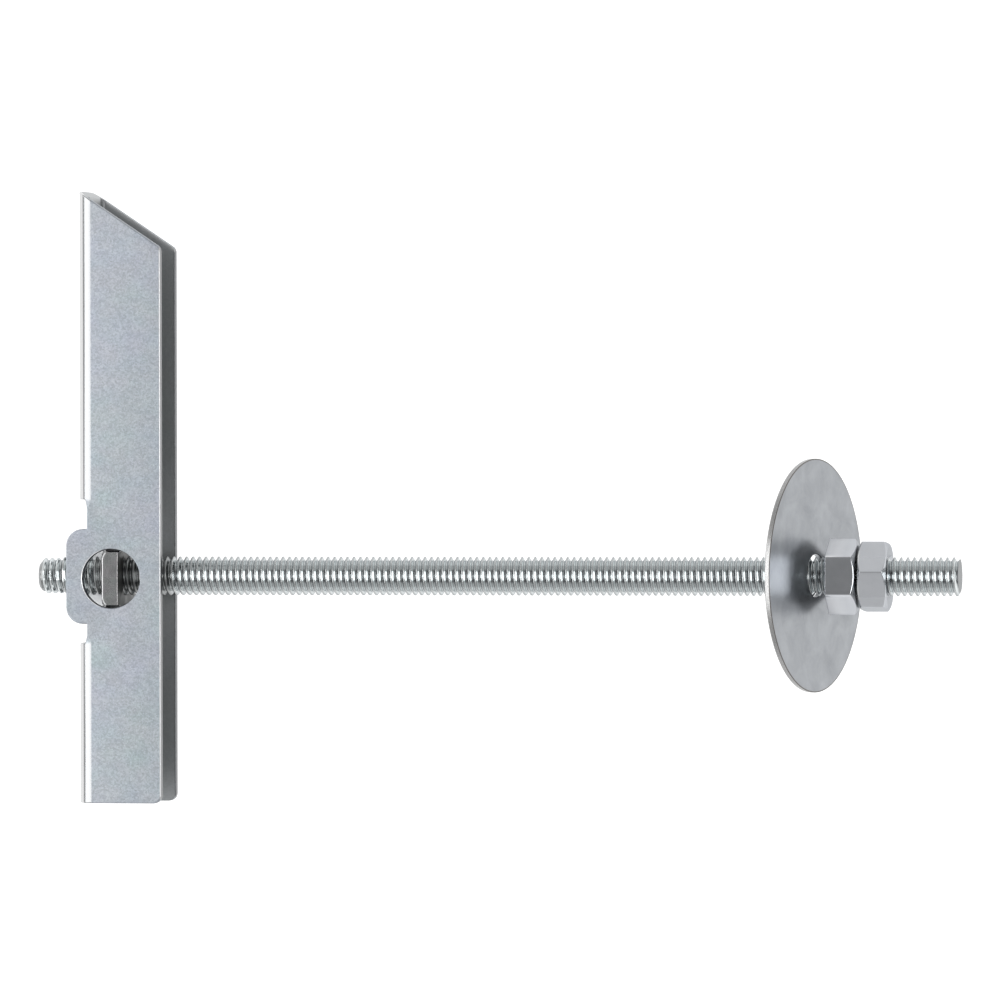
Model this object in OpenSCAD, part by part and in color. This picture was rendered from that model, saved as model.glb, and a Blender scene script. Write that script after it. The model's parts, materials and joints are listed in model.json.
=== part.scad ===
// Gravity toggle bolt for a hollow wall or ceiling, lying at rest on a table.
//
// A folded sheet-steel bar turns on the two tabs of a plate nut. Folded along the rod it passes a
// drilled hole, and behind the wall its longer arm swings it square to the rod again. A large washer
// and two hexagon nuts draw the rod tight from the front.
//
// Every piece is drawn in the rod's own frame: +X runs along the rod from the pivot to the washer,
// +Y along the bar's long arm, +Z along the pivot axis, and the origin is on the rod's axis beside the
// pivot. at_pivot() moves what is measured from the pivot axis, which passes the rod's a little to one
// side. lay_down() then tilts and lifts the whole assembly on to the table, which is the plane z = 0.

/* [Rod] */
// Major diameter of the thread, M6 at the middle of its tolerance
thread_d = 5.9; // [5:0.1:7]
// Pitch of the thread
pitch = 1; // [0.7:0.05:1.5]
// Depth of the thread, from crest to root
thread_depth = 0.61; // [0.3:0.01:0.9]
// Where a crest crosses the rod's side on the long arm's side, past the pivot
crest_at = 0.47; // [0:0.01:1]
// Length of the rod from end to end
rod_len = 141.65; // [115:0.05:200]
// How far the rod stands out past the pivot axis
tip_out = 12.26; // [9:0.01:16]
// Length of the lead-in cone at the rod's tip
tip_cone_len = 1.4; // [0.5:0.1:2.5]
// Depth of the lead-in cone, measured on the radius
tip_cone_depth = 1; // [0.3:0.1:1.5]
// Chamfer at the rod's sawn end
end_chamfer = 0.3; // [0.1:0.1:0.8]

/* [Toggle bar] */
// Thickness of the sheet
sheet_t = 1.5; // [1:0.1:2]
// Inside radius of the two bends
bend_in_r = 0.6; // [0.3:0.1:1]
// Web's outer face to the flanges' free edges
bar_depth = 12.9; // [12:0.1:18]
// Pivot axis to the tip of the bevelled long arm
long_arm = 59.05; // [45:0.05:80]
// Pivot axis to the square end of the short arm
short_arm = 34.2; // [25:0.05:45]
// Slope of the long arm's bevelled end
bevel_angle = 34; // [20:0.1:40]
// Radius at the four corners of the flanges' free edges
free_corner_r = 1.2; // [0.5:0.1:2]
// Pivot axis to the outer end of the ears
ear_reach = 7; // [6.2:0.1:10]
// Pivot axis to the ears' edge on the long arm's side
ear_up = 7.55; // [6.5:0.05:8.5]
// Pivot axis to the ears' edge on the short arm's side
ear_down = 6.9; // [6.5:0.05:8.5]
// Radius at the ears' outer corners
ear_corner_r = 2.7; // [1:0.05:3.5]
// How far the flat flange runs into the window, past the start of the bend
window_lip = 0.66; // [0.2:0.02:1]
// How far the bar can swing back from square, before the rod's flank meets the window's end
swing_back = 47.5; // [30:0.5:50]

/* [Plate nut] */
// Thickness of the punched plate
plate_t = 2.5; // [1.5:0.1:3.5]
// Height of each tab
tab_h = 8.1; // [7:0.1:9]
// How far each tab stands out past its flange
tab_out = 0.3; // [0:0.1:1]
// Radius of the rolled corners that the punch leaves on the tabs
tab_corner_r = 0.8; // [0.2:0.1:1.1]
// How far the plate's body reaches past the pivot holes, which keeps it between the flanges
shoulder = 1.05; // [0.5:0.05:1.5]
// How far the plate's middle lies from the pivot axis, towards the rod's tip
plate_set_back = 0.16; // [0:0.02:0.2]
// How far the pivot axis lies from the rod's axis, towards the short arm
pivot_drop = 0.35; // [0:0.05:0.5]

/* [Washer] */
// Outer diameter of the washer
washer_d = 35.3; // [25:0.1:50]
// Thickness of the washer
washer_t = 0.8; // [0.5:0.1:2]
// How much wider the washer's hole is than the thread
washer_play = 0.58; // [0.3:0.01:1.2]
// Washer's centre to the near face of the hexagon nut, along the rod
washer_stand_off = 2.4; // [2.3:0.01:8]
// How far the washer lies off the rod's axis in its play, towards the long arm
washer_rise = 0.15; // [0:0.01:0.2]

/* [Hexagon nuts] */
// Width across the flats
nut_af = 10; // [9:0.1:13]
// Thickness of each nut
nut_t = 4.5; // [3:0.1:6]
// Length of thread left bare past the outer nut
stub_len = 10.65; // [6:0.05:20]
// How far the first nut is turned from a flat facing straight up
hex_nut_turn = 2.5; // [-30:0.5:30]
// How far the second nut is turned from a flat facing straight up
lock_nut_turn = -22; // [-30:0.1:30]

/* [Clearances] */
// Tapped hole to thread, on the radius
thread_gap = 0.05; // [0.02:0.01:0.1]
// Folded rod to the inside of the bar's web
rod_web_gap = 0.75; // [0.4:0.05:1.5]
// Rod to each flange of the bar
rod_flange_gap = 1.85; // [1.2:0.05:2.5]
// Plate nut's body to each flange
plate_gap = 0.15; // [0.05:0.05:0.4]
// Corners of the tabs to the pivot holes, on the radius
pivot_gap = 0.28; // [0.05:0.01:0.4]
// Rod's tip to the window's end as the bar folds
tip_gap = 0.12; // [0.1:0.01:0.5]
// Rod's flank to the window's other end when the bar has swung back
flank_gap = 0.2; // [0.1:0.05:0.5]
// Leaning washer to the thread, where its hole binds
bind_gap = 0.15; // [0.1:0.01:0.25]
// Between the two nuts
jam_gap = 0.25; // [0.05:0.05:0.6]

/* [Hidden] */
$fn = 96;

zinc = [0.74, 0.76, 0.79];
zinc_dark = [0.55, 0.56, 0.58];
nut_chamfer_angle = 30;
face_share = 0.95;       // a nut's round bearing face, as a share of its width across the flats
bore_lead = 0.3;         // lead-in cone at each end of a tapped hole
plate_roll_r = 0.4;      // rolled edge of the plate nut's body
over = 1;                // how far a cutter runs past what it cuts
thread_facets = 16;      // flat facets in one turn of the thread
run_out = 0.1;           // how near the thread's first and last turn come to the rod's ends

thread_r = thread_d / 2;
bore_r = thread_r + thread_gap;
rod_end = rod_len - tip_out;

// The bar's channel: its inside takes the folded rod, and the sheet wraps that.
bar_in_w = thread_d + 2 * rod_flange_gap;
bar_w = bar_in_w + 2 * sheet_t;
bend_r = bend_in_r + sheet_t;
web_in = thread_r + rod_web_gap;
web_out = web_in + sheet_t;
free_edge = bar_depth - web_out;

// The pivot: a round hole in each flange, just wider than a tab is from corner to corner.
pivot_hole_d = sqrt(plate_t * plate_t + tab_h * tab_h) + 2 * pivot_gap;
plate_body_h = pivot_hole_d + 2 * shoulder;
plate_body_w = bar_in_w - 2 * plate_gap;
plate_w = bar_w + 2 * tab_out;
plate_back = -plate_set_back - plate_t / 2;

// The window in the web lets the rod's tip sweep through to the long arm's side until the bar lies
// along the rod, and stops the rod's flank on the other side at swing_back.
tip_face_r = thread_r - tip_cone_depth;
tip_reach = sqrt(tip_out * tip_out + (tip_face_r + pivot_drop) * (tip_face_r + pivot_drop));
window_up = sqrt(tip_reach * tip_reach - web_in * web_in) + tip_gap;
window_down = (thread_r - pivot_drop + flank_gap) / cos(swing_back) + web_out * tan(swing_back);

// The nuts are counted back from the rod's sawn end.
lock_nut_x = rod_end - stub_len - nut_t;
hex_nut_x = lock_nut_x - jam_gap - nut_t;
washer_x = hex_nut_x - washer_stand_off;

// The washer leans on the rod until opposite rims of its hole bind.
washer_hole_d = thread_d + washer_play;
washer_lean = acos((thread_d + bind_gap) / sqrt(washer_hole_d * washer_hole_d + washer_t * washer_t))
    - atan(washer_t / washer_hole_d);

// At rest the lower ear and the washer's lowest rim stand on the table. Each is a point [x, z].
ear_foot = [-ear_reach, -bar_w / 2];
washer_foot = [
    washer_x + washer_d / 2 * sin(washer_lean) - washer_t / 2 * cos(washer_lean),
    -washer_d / 2 * cos(washer_lean) - washer_t / 2 * sin(washer_lean)
];
rest_tilt = atan((ear_foot[1] - washer_foot[1]) / (washer_foot[0] - ear_foot[0]));
lift = -(ear_foot[0] * sin(rest_tilt) + ear_foot[1] * cos(rest_tilt));
rest_x_min = -tip_out * cos(rest_tilt) - tip_face_r * sin(rest_tilt);
rest_x_max = rod_end * cos(rest_tilt) + (thread_r - end_chamfer) * sin(rest_tilt);
rest_x_mid = (rest_x_min + rest_x_max) / 2;
rest_y_mid = (long_arm - short_arm) / 2 - pivot_drop;

// Moves a piece from the rod's frame to where it lies on the table, centred over the origin.
module lay_down() {
    translate([-rest_x_mid, -rest_y_mid, lift]) rotate([0, -rest_tilt, 0]) children();
}

// Moves what is drawn about the pivot axis to its place beside the rod's axis.
module at_pivot() {
    translate([0, -pivot_drop, 0]) children();
}

// A round solid on the rod's axis, from its [radius, x] outline.
module turned(outline) {
    rotate([0, 90, 0]) rotate_extrude() polygon(outline);
}

// A tapped hole along X through a piece that spans x0 to x1, with a lead-in cone at each end.
module tapped_hole(x0, x1) {
    turned([
        [0, x0 - over], [bore_r + bore_lead + over, x0 - over], [bore_r, x0 + bore_lead],
        [bore_r, x1 - bore_lead], [bore_r + bore_lead + over, x1 + over], [0, x1 + over]
    ]);
}

// The rod's radius where the thread alone would give r, no more than the cone at its tip and the chamfer
// at its end allow. The cone is cut as deep into the roots as the crests stand out of it.
function end_limit(x, r) = min(
    r,
    tip_face_r + (x + tip_out) * tip_cone_depth / tip_cone_len - (thread_r - r) / 4,
    thread_r - end_chamfer + (rod_end - x)
);

// The point on the rod's skin at x along it, at the facet k round it, where the thread alone would give r.
function on_thread(x, k, r) =
    let(angle = 360 * k / thread_facets, limited = end_limit(x, r))
    [x, limited * cos(angle), limited * sin(angle)];

// Two triangles between two pairs of points along two neighbouring edges.
function strip(a, b) = [[a, a + 1, b], [a + 1, b + 1, b]];

// The rod with its right-hand thread. A crest line and a root line wind round it together, one pitch for
// each turn, with a flank on either side. Flat rings close both ends.
module threaded_rod() {
    n = thread_facets;
    first_crest = crest_at + ceil((run_out - tip_out - crest_at) / pitch) * pitch;
    turns = floor((rod_end - run_out - first_crest) / pitch - 0.5);
    count = turns * n;
    crests = [for (k = [0:count]) on_thread(first_crest + k * pitch / n, k, thread_r)];
    roots = [for (k = [0:count]) on_thread(first_crest + (k / n + 0.5) * pitch, k, thread_r - thread_depth)];
    tip_ring = [for (k = [0:n]) on_thread(-tip_out, k, thread_r)];
    end_ring = [for (k = [0:n]) on_thread(rod_end, k, thread_r)];
    root = count + 1;
    tip = 2 * root;
    end = tip + n + 1;
    lay_down() color(zinc) polyhedron(
        points = concat(crests, roots, tip_ring, end_ring),
        faces = concat(
            [for (k = [0:count - 1]) each strip(k, root + k)],
            [for (k = [0:count - n - 1]) each strip(root + k, n + k)],
            [for (k = [0:n - 1]) each strip(tip + k, k)],
            [for (k = [0:n - 1]) each strip(root + count - n + k, end + k)],
            [[tip, 0, root], [tip, root, n]],
            [[end, root + count, count], [end, count, root + count - n]],
            [[for (k = [0:n - 1]) tip + n - k]],
            [[for (k = [0:n - 1]) end + k]]
        )
    );
}

// A plate's section seen along the pivot axis: its corners on the punched side are rolled over.
module plate_section(height, r) {
    for (side = [-1, 1]) translate([plate_back + r, side * (height / 2 - r)]) circle(r);
    translate([plate_back + r, -height / 2]) square([plate_t - r, height]);
    translate([plate_back, r - height / 2]) square([plate_t, height - 2 * r]);
}

// The plate nut: a tapped body held between the flanges, and a tab through each of them.
module pivot_nut() {
    lay_down() color(zinc_dark) difference() {
        at_pivot() {
            linear_extrude(plate_body_w, center = true) plate_section(plate_body_h, plate_roll_r);
            linear_extrude(plate_w, center = true) plate_section(tab_h, tab_corner_r);
        }
        tapped_hole(plate_back, plate_back + plate_t);
    }
}

// A strip across the channel, closed behind by rounded corners and running past the free edges.
module rounded_back(back, width, r) {
    for (side = [-1, 1]) translate([r - back, side * (width / 2 - r)]) circle(r);
    translate([r - back, -width / 2]) square([back + free_edge + over, width]);
    translate([-back, r - width / 2]) square([2 * r, width - 2 * r]);
}

// The channel's U section in the XZ plane, swept along the whole bar.
module channel() {
    rotate([90, 0, 0]) linear_extrude(2 * (long_arm + short_arm), center = true) difference() {
        rounded_back(web_out, bar_w, bend_r);
        rounded_back(web_in, bar_in_w, bend_in_r);
    }
}

// What a rounded corner loses: the kite between its two tangents, less the circle. The corner is at the
// origin, one edge comes up to it along the Y axis, and the outline then turns left there.
module corner_waste(turn, r) {
    tangent = r * tan(turn / 2);
    difference() {
        polygon([[0, -tangent], [0, 0], [-tangent * sin(turn), tangent * cos(turn)], [-r, -tangent]]);
        translate([-r, -tangent]) circle(r);
    }
}

// The bar seen along the pivot axis: square at the short arm, bevelled at the long one.
module side_outline() {
    bevel_y = long_arm - bar_depth * tan(bevel_angle);
    difference() {
        polygon([[-web_out, -short_arm], [free_edge, -short_arm], [free_edge, bevel_y], [-web_out, long_arm]]);
        translate([free_edge, bevel_y]) corner_waste(90 - bevel_angle, free_corner_r);
        translate([free_edge, -short_arm]) mirror([0, 1]) corner_waste(90, free_corner_r);
    }
}

// One flat flange across the window, with its ear around the pivot hole.
module ear_outline() {
    bend_start = bend_r - web_out;
    translate([bend_start - window_lip, -window_down]) square([window_lip + over, window_down + window_up]);
    for (corner_y = [ear_up - ear_corner_r, ear_corner_r - ear_down])
        translate([ear_corner_r - ear_reach, corner_y]) circle(ear_corner_r);
    translate([-ear_reach, ear_corner_r - ear_down]) square([ear_reach, ear_up + ear_down - 2 * ear_corner_r]);
    translate([ear_corner_r - ear_reach, -ear_down]) square([ear_reach - ear_corner_r, ear_up + ear_down]);
}

// The toggle bar: one folded channel, with its window, its ears and the two pivot holes.
module toggle_bar() {
    window_depth = over + bend_r;
    lay_down() at_pivot() color(zinc) difference() {
        union() {
            difference() {
                intersection() {
                    channel();
                    linear_extrude(bar_w + 2 * over, center = true) side_outline();
                }
                translate([-web_out - over, -window_down, -bar_w / 2 - over])
                    cube([window_depth, window_down + window_up, bar_w + 2 * over]);
            }
            for (z = [-bar_w / 2, bar_w / 2 - sheet_t])
                translate([0, 0, z]) linear_extrude(sheet_t) ear_outline();
        }
        cylinder(d = pivot_hole_d, h = bar_w + 2 * over, center = true);
    }
}

// The washer, leaning with its lower rim towards the nuts.
module washer() {
    lay_down() color(zinc) translate([washer_x, washer_rise, 0]) rotate([0, -washer_lean, 0]) turned([
        [washer_hole_d / 2, -washer_t / 2], [washer_d / 2, -washer_t / 2],
        [washer_d / 2, washer_t / 2], [washer_hole_d / 2, washer_t / 2]
    ]);
}

// One hexagon nut from x = 0 to nut_t, its far corners chamfered, and its near ones too if asked.
module hexagon_nut(turn, near_chamfer) {
    corner_r = nut_af / 2 / cos(30);
    face_r = nut_af / 2 * face_share;
    fall = (corner_r + over - face_r) * tan(nut_chamfer_angle);
    near = near_chamfer ? fall : 0;
    near_r = near_chamfer ? face_r : corner_r + over;
    difference() {
        intersection() {
            rotate([-turn, 0, 0]) rotate([0, 90, 0]) rotate([0, 0, 30]) cylinder(r = corner_r, h = nut_t, $fn = 6);
            turned([
                [0, 0], [near_r, 0], [corner_r + over, near], [corner_r + over, nut_t - fall],
                [face_r, nut_t], [0, nut_t]
            ]);
        }
        tapped_hole(0, nut_t);
    }
}

// The nut that tightens the washer: flat on the washer's side.
module hex_nut() {
    lay_down() color(zinc) translate([hex_nut_x, 0, 0]) hexagon_nut(hex_nut_turn, false);
}

// The second nut, chamfered on both sides.
module lock_nut() {
    lay_down() color(zinc) translate([lock_nut_x, 0, 0]) hexagon_nut(lock_nut_turn, true);
}

threaded_rod();
pivot_nut();
toggle_bar();
washer();
hex_nut();
lock_nut();
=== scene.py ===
# %% [markdown]
# # Dressing a gravity toggle bolt
# This script takes a finished CAD model of a gravity toggle bolt and gives it the shapes and finishes
# that plain solids leave out: the rolled thread, the rounded edges of punched and folded sheet, and
# five finishes of steel. The CAD model is the frame. It fixes every size and every moving body, and
# nothing here moves it.

# %% Load the frame
import json
import math

import bmesh
import bpy
import numpy as np
from mathutils import Matrix, Vector
from mathutils.geometry import delaunay_2d_cdt


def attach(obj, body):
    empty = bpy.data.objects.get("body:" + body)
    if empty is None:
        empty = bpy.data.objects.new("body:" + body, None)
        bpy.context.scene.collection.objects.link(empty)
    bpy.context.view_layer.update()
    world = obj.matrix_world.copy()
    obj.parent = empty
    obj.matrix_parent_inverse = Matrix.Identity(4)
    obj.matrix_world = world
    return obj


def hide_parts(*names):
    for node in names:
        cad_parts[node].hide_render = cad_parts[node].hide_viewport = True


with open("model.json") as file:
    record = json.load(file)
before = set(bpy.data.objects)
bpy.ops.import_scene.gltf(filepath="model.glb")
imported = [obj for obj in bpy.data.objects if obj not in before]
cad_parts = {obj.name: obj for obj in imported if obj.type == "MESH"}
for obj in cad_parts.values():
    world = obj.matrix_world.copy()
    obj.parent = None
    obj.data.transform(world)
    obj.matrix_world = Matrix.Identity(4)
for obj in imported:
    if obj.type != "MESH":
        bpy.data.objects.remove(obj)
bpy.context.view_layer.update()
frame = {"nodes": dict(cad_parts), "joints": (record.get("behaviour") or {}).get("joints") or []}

# %% [markdown]
# ## The rod's own frame
# The bolt lies on a table, so its rod slopes up a little. It is easier to model every piece in the
# rod's own frame, in millimetres, and to carry the finished points to the table in one step. The joints
# already hold that frame: the bar swings about a point and an axis, and the plate nut slides along the
# rod. The bar hangs in its play a third of a millimetre to one side of the rod's axis, so the frame's
# origin is taken on the rod's axis, beside the pivot.

# %% The rod's frame, read from the joints
MM = 0.001
PIVOT_DROP = 0.35  # how far the bar's pivot hangs to the side of the rod's axis, in mm


def unit(direction):
    """The same direction with a length of 1."""
    direction = np.array(direction, float)
    return direction / np.linalg.norm(direction)


joints = {joint["name"]: joint for joint in frame["joints"]}
ROD_AXIS = unit(joints["pivot_nut_travel"]["axis"])
PIVOT_AXIS = unit(joints["bar_swing"]["axis"])
ARM_AXIS = np.cross(PIVOT_AXIS, ROD_AXIS)
AXES = np.stack([ROD_AXIS, ARM_AXIS, PIVOT_AXIS])
ORIGIN = np.array(joints["bar_swing"]["pos_m"], float) + PIVOT_DROP * MM * ARM_AXIS


def on_table(points):
    """Points (x along the rod, y along the bar, z along the pivot) in mm, to metres on the table."""
    return ORIGIN + MM * np.asarray(points, float) @ AXES


def in_rod_frame(node):
    """The lowest and the highest corner of a CAD node in the rod's frame, to a thousandth of a mm."""
    vertices = frame["nodes"][node].data.vertices
    co = np.empty(len(vertices) * 3)
    vertices.foreach_get("co", co)
    local = (co.reshape(-1, 3) - ORIGIN) @ AXES.T / MM
    return np.round(local.min(0), 3), np.round(local.max(0), 3)


LOW, HIGH = {}, {}
for name in sorted(frame["nodes"]):
    LOW[name], HIGH[name] = in_rod_frame(name)
    print(f"{name}: from {LOW[name]} to {HIGH[name]} mm")


def middle_and_width(node, axis):
    """Where the middle of a CAD node lies along an axis of the rod's frame, and how wide it is."""
    low, high = LOW[node][axis], HIGH[node][axis]
    return round((low + high) / 2, 3), round(high - low, 3)


def add_object(name, data):
    """A new object in the scene, made of a mesh, a light or a camera."""
    added = bpy.data.objects.new(name, data)
    bpy.context.scene.collection.objects.link(added)
    return added


# %% [markdown]
# ## Camera
# The camera looks almost straight down. It leans from the pivot's axis towards the washer's end by ten
# degrees, of which the rod's slope takes up half. A long lens far away keeps parallel edges parallel.

# %% Camera
CAMERA_YAW, CAMERA_PITCH = math.radians(10.15), math.radians(0.55)
CAMERA_DISTANCE = 1.53
CAMERA_TARGET = on_table([59.04, 11.56, 0.0])
CAMERA_LENS, SENSOR = 363.0, 36.0

toward_camera = (
    math.sin(CAMERA_YAW) * math.cos(CAMERA_PITCH) * ROD_AXIS
    + math.sin(CAMERA_PITCH) * ARM_AXIS
    + math.cos(CAMERA_YAW) * math.cos(CAMERA_PITCH) * PIVOT_AXIS
)
picture_right = unit(ROD_AXIS - (ROD_AXIS @ toward_camera) * toward_camera)
picture_up = np.cross(toward_camera, picture_right)

camera_data = bpy.data.cameras.new("camera")
camera_data.lens, camera_data.sensor_width = CAMERA_LENS, SENSOR
camera_data.clip_start, camera_data.clip_end = 0.05, 50.0
camera = add_object("camera", camera_data)
turn = Matrix((picture_right, picture_up, toward_camera)).transposed().to_4x4()
eye = Vector(CAMERA_TARGET + CAMERA_DISTANCE * toward_camera)
camera.matrix_world = Matrix.Translation(eye) @ turn
bpy.context.scene.camera = camera
bpy.context.scene.view_settings.view_transform = "Standard"
lean_down = math.degrees(math.acos(toward_camera[2]))
print("camera leans", round(lean_down, 1), "degrees from straight down")

# %% [markdown]
# ## Shader maths as plain Python
# A material is a graph of nodes. Written with node calls it is long and hard to read. A small class
# that wraps one socket and knows + - * / lets the graph be written as an expression, so
# `0.2 + 0.1 * grain` makes its two Math nodes by itself. Every other node comes from one method, and
# the same method serves the sky.

# %% A socket that knows arithmetic
def arithmetic(operation, swapped=False):
    """A method that joins a Field and another value with one Math node."""

    def join(field, other=0.0):
        first, second = (other, field) if swapped else (field, other)
        return field.graph.node("ShaderNodeMath", {"operation": operation}, {0: first, 1: second})

    return join


class Field:
    """A value that changes from place to place: one output socket in a graph of nodes."""

    def __init__(self, graph, socket):
        self.graph, self.socket = graph, socket

    __add__, __radd__ = arithmetic("ADD"), arithmetic("ADD", swapped=True)
    __sub__, __rsub__ = arithmetic("SUBTRACT"), arithmetic("SUBTRACT", swapped=True)
    __mul__, __rmul__ = arithmetic("MULTIPLY"), arithmetic("MULTIPLY", swapped=True)
    __truediv__, __abs__ = arithmetic("DIVIDE"), arithmetic("ABSOLUTE")

    def clamped(self):
        """The same value, kept between 0 and 1."""
        settings = {"operation": "ADD", "use_clamp": True}
        return self.graph.node("ShaderNodeMath", settings, {0: self, 1: 0.0})

    def rises(self, start, width):
        """0 up to start, 1 from start + width on, and a straight ramp in between."""
        return ((self - start) / width).clamped()

    def falls(self, end, width):
        """1 up to end - width, 0 from end on, and a straight ramp in between."""
        return ((end - self) / width).clamped()

    def contrast(self, gain):
        """A value from 0 to 1 spread out from its middle, and kept between 0 and 1."""
        return ((self - 0.5) * gain + 0.5).clamped()


# %% A graph of nodes
def set_stops(elements, stops):
    """Gives a colour ramp its stops: pairs of place and grey level, both from 0 to 1."""
    while len(elements) < len(stops):
        elements.new(0.5)
    for element, (place, level) in zip(elements, stops):
        element.position, element.color = place, (level, level, level, 1)


class Graph:
    """A graph of shader nodes, in a material or in the sky."""

    def __init__(self, tree):
        self.tree = tree

    def node(self, kind, settings, inputs, output=0):
        """Adds a node: its settings first, then a value or a Field for each input it names."""
        node = self.tree.nodes.new(kind)
        for key, value in settings.items():
            if key == "stops":
                set_stops(node.color_ramp.elements, value)
            else:
                setattr(node, key, value)
        self.plug(node, inputs)
        return Field(self, node.outputs[output])

    def plug(self, node, inputs):
        """Sets or links the inputs of a node, each given by its name or number."""
        for key, value in inputs.items():
            socket = node.inputs[key]
            if isinstance(value, Field):
                self.tree.links.new(value.socket, socket)
            else:
                socket.default_value = (*value, 1) if socket.type == "RGBA" else value

    def blend(self, share, first, second, kind="MIX"):
        """A colour between two others, or the two joined by another kind of blend."""
        settings = {"data_type": "RGBA", "blend_type": kind}
        return self.node("ShaderNodeMix", settings, {0: share, 6: first, 7: second}, 2)

    def layers(self, colour, *coats):
        """A colour with coats laid over it in turn, each given as its share and its colour."""
        for share, coat in coats:
            colour = self.blend(share, colour, coat)
        return colour


# %% A finish around one metal shader
class Finish(Graph):
    """A material for one of the bolt's finishes."""

    def __init__(self, name):
        self.material = bpy.data.materials.new(name)
        self.material.use_nodes = True
        super().__init__(self.material.node_tree)
        self.shader = next(n for n in self.tree.nodes if n.type == "BSDF_PRINCIPLED")
        self.place = self.node("ShaderNodeTexCoord", {}, {}, "Object")

    def in_mm(self, stretch=(1, 1, 1)):
        """The object's own coordinates in millimetres, with each axis stretched."""
        inputs = {"Vector": self.place, "Scale": [s / MM for s in stretch]}
        return self.node("ShaderNodeMapping", {}, inputs)

    def noise(self, size, where=None, detail=3.0, roughness=0.55, distortion=0.0):
        """Soft noise from 0 to 1, whose blotches are about size millimetres across."""
        inputs = {"Vector": where or self.in_mm(), "Scale": 1.0 / size, "Detail": detail,
                  "Roughness": roughness, "Distortion": distortion}
        return self.node("ShaderNodeTexNoise", {}, inputs)

    def grains(self, size):
        """Cells about size millimetres across, each with one random value: crystals of zinc."""
        inputs = {"Vector": self.in_mm(), "Scale": 1.0 / size}
        cells = self.node("ShaderNodeTexVoronoi", {}, inputs, "Color")
        return self.node("ShaderNodeSeparateColor", {}, {"Color": cells}, "Red")

    def along(self, axis):
        """How far a place lies from the origin along an axis, in millimetres."""
        settings = {"operation": "DOT_PRODUCT"}
        inputs = {0: self.place, 1: [float(v) / MM for v in axis]}
        from_table = self.node("ShaderNodeVectorMath", settings, inputs, "Value")
        return from_table - float(ORIGIN @ axis) / MM

    def relief(self, height, depth):
        """A normal that follows a height from 0 to 1, where 1 stands depth millimetres proud."""
        inputs = {"Height": height, "Distance": depth * MM, "Strength": 1.0}
        return self.node("ShaderNodeBump", {}, inputs)

    def shade(self, **inputs):
        """Feeds the metal shader, whose inputs are given with _ for a space."""
        self.plug(self.shader, {key.replace("_", " "): value for key, value in inputs.items()})
        print(f"{self.material.name}: {len(self.tree.nodes)} nodes")
        return self.material

    def metal(self, colour, rough, height, depth, **more):
        """Steel or zinc of a colour and a roughness, with a fine relief."""
        relief = self.relief(height, depth)
        return self.shade(Base_Color=colour, Metallic=1.0, Roughness=rough, Normal=relief, **more)


# %% [markdown]
# ## Skins from arrays
# A piece is a grid of points, with rows along a section and columns round an axis, and its arrays go
# into the mesh whole. A closed skin has a positive volume when its faces point outwards, so the volume
# tells whether to turn them over.

# %% Grid to mesh
def faces_of(rows, columns, loop_rows, loop_columns):
    """The four corners of every cell of a grid, wrapping round where the grid is a loop."""
    row = np.arange(rows if loop_rows else rows - 1)[:, None]
    column = np.arange(columns if loop_columns else columns - 1)[None, :]
    next_row, next_column = (row + 1) % rows, (column + 1) % columns
    corners = (row, column), (row, next_column), (next_row, next_column), (next_row, column)
    return np.stack([r * columns + c for r, c in corners], -1).reshape(-1, 4)


def skin(grid, loop_rows=True, loop_columns=True):
    """A grid of points as the points and faces of a piece."""
    return grid.reshape(-1, 3), [faces_of(*grid.shape[:2], loop_rows, loop_columns)]


def skin_volume(points, faces):
    """The volume that a closed skin holds: the sum of the wedges from the origin to its triangles."""
    fans = [f[:, [0, k, k + 1]] for f in faces for k in range(1, f.shape[1] - 1)]
    a, b, c = np.moveaxis(points[np.concatenate(fans)], 1, 0)
    return np.einsum("ij,ij->", a, np.cross(b, c)) / 6


# %% A piece that stands for a CAD node
WELD, SLIVER = 1e-7, 1e-8  # points and edges closer or shorter than this, in metres, become one
SMOOTH_BELOW = math.radians(35)


def make_piece(node, slot, points, faces):
    """A piece that stands for a CAD node and rides on the body of the same name.

    points are in the rod's frame, and faces holds one array for each number of corners."""
    name, volume = f"{node}_skin", skin_volume(points, faces)
    way = 1 if volume > 0 else -1
    mesh = bpy.data.meshes.new(name)
    mesh.from_pydata(on_table(points), [], [face for f in faces for face in f[:, ::way].tolist()])
    welded = bmesh.new()
    welded.from_mesh(mesh)
    bmesh.ops.remove_doubles(welded, verts=welded.verts, dist=WELD)
    bmesh.ops.dissolve_degenerate(welded, edges=welded.edges, dist=SLIVER)
    open_edges = sum(not edge.is_manifold for edge in welded.edges)
    welded.to_mesh(mesh)
    welded.free()
    mesh.polygons.foreach_set("use_smooth", np.ones(len(mesh.polygons), bool))
    mesh.set_sharp_from_angle(angle=SMOOTH_BELOW)
    piece = add_object(name, mesh)
    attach(piece, node)
    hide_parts(node)
    measured = f"{len(mesh.polygons)} faces around {abs(volume):.1f} cubic mm"
    print(f"{name}: {measured}, {open_edges} open edges")
    return piece


# %% Turning and rounding
def round_the_axis(section_x, section_r, angle):
    """Points at distance r from the rod's axis, at an angle from the bar's direction to the pivot's."""
    x, r, a = np.broadcast_arrays(section_x, section_r, angle)
    return np.stack([x, r * np.cos(a), r * np.sin(a)], -1)


CURVE_SHARE, FLAT_SHARE = 0.42, 0.47  # the most of an edge that a corner's curve and its flat row take
HOLD = 0.03  # how far past a curve the next row lies, in mm


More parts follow.
